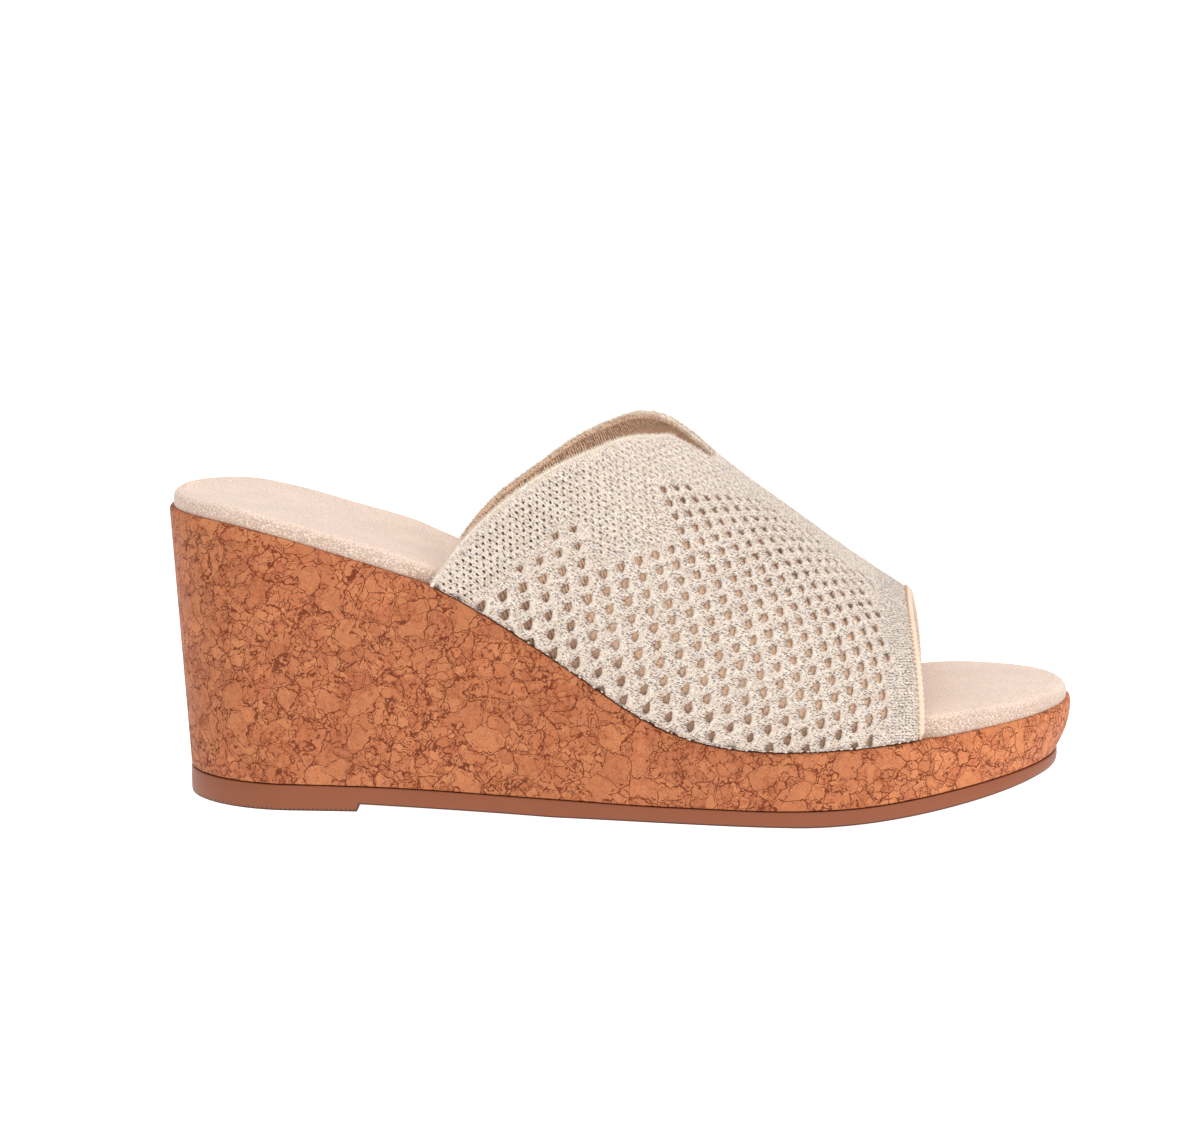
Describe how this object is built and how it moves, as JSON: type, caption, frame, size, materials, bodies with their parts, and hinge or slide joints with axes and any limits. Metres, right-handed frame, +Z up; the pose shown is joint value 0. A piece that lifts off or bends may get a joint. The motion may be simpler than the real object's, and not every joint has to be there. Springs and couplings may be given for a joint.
{
  "type": "wedge mule sandal",
  "caption": "Right-foot open-toe wedge mule with an openwork knit vamp, padded footbed, cork-covered wedge and brown rubber outsole.",
  "frame": {"origin": "on the floor, under the middle of the shoe's box", "axes": "+X from heel to toe, +Y to the big-toe side, +Z up"},
  "size_m": [0.242, 0.0892, 0.1016],
  "materials": {
    "outsole_rubber": "satin",
    "cork_cover": "satin",
    "footbed_suede": "matte",
    "vamp_knit": "matte",
    "edge_knit": "matte"
  },
  "bodies": {
    "root": {"outsole": "outsole_rubber", "wedge": "cork_cover", "insole": "footbed_suede", "upper": "vamp_knit", "toe_binding": "edge_knit"}
  },
  "joints": []
}
